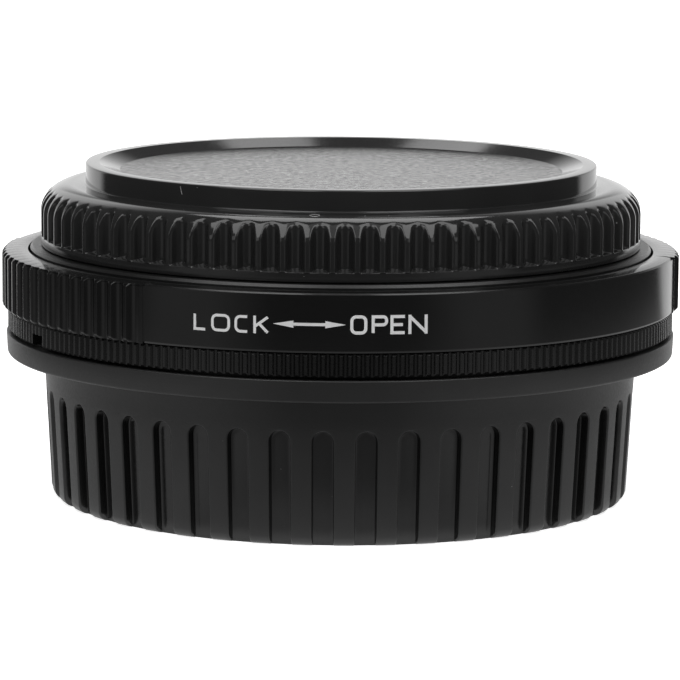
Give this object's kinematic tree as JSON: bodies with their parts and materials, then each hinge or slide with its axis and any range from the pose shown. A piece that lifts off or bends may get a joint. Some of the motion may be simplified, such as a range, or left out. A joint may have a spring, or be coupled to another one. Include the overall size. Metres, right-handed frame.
{
  "type": "lens mount adapter",
  "caption": "Camera lens mount adapter with a turning lock/open control ring, corrective glass inside, a fluted front cap over the lens bayonet and a slotted rear cap over the camera bayonet.",
  "frame": {"origin": "centre of the rear cap's underside, on the surface that it stands on", "axes": "+Z along the optical axis from the camera side to the lens side; -Y towards the lettered side of the control ring; +X to the right as seen from that side"},
  "size_m": [0.0658, 0.065, 0.0324],
  "materials": {
    "front_cap_plastic": "glossy black moulded plastic",
    "rear_cap_plastic": "satin black moulded plastic",
    "ring_anodised": "satin black anodised",
    "body_anodised": "black anodised, finely knurled",
    "black_anodised": "matte black anodised",
    "chromed_brass": "satin chrome plated",
    "screw_steel": "blackened steel",
    "coated_glass": "coated optical glass"
  },
  "bodies": {
    "rear_cap": {"rear_cap": "rear_cap_plastic"},
    "adapter": {"adapter_body": "body_anodised", "front_mount": "black_anodised", "front_mount_screws": "screw_steel", "rear_mount": "chromed_brass", "rear_mount_screws": "screw_steel", "bayonet_stop_pin": "screw_steel", "lens_cell": "black_anodised", "front_element": "coated_glass", "element_spacer": "black_anodised", "rear_element": "coated_glass", "cell_retaining_ring": "black_anodised"},
    "control_ring": {"control_ring": "ring_anodised", "actuator_ring": "black_anodised", "actuator_pin": "screw_steel", "drive_screws": "screw_steel"},
    "front_cap": {"front_cap": "front_cap_plastic"}
  },
  "joints": [
    {"name": "control_ring_turn", "type": "hinge", "parent": "adapter", "child": "control_ring", "pos_m": [0, 0, 0.0212], "axis": [0, 0, 1], "range_deg": [0, 36]},
    {"name": "front_cap_lift", "type": "slide", "parent": "adapter", "child": "front_cap", "axis": [0, 0, 1], "range_m": [0, 0.03]},
    {"name": "adapter_lift", "type": "slide", "parent": "rear_cap", "child": "adapter", "axis": [0, 0, 1], "range_m": [0, 0.03]}
  ]
}
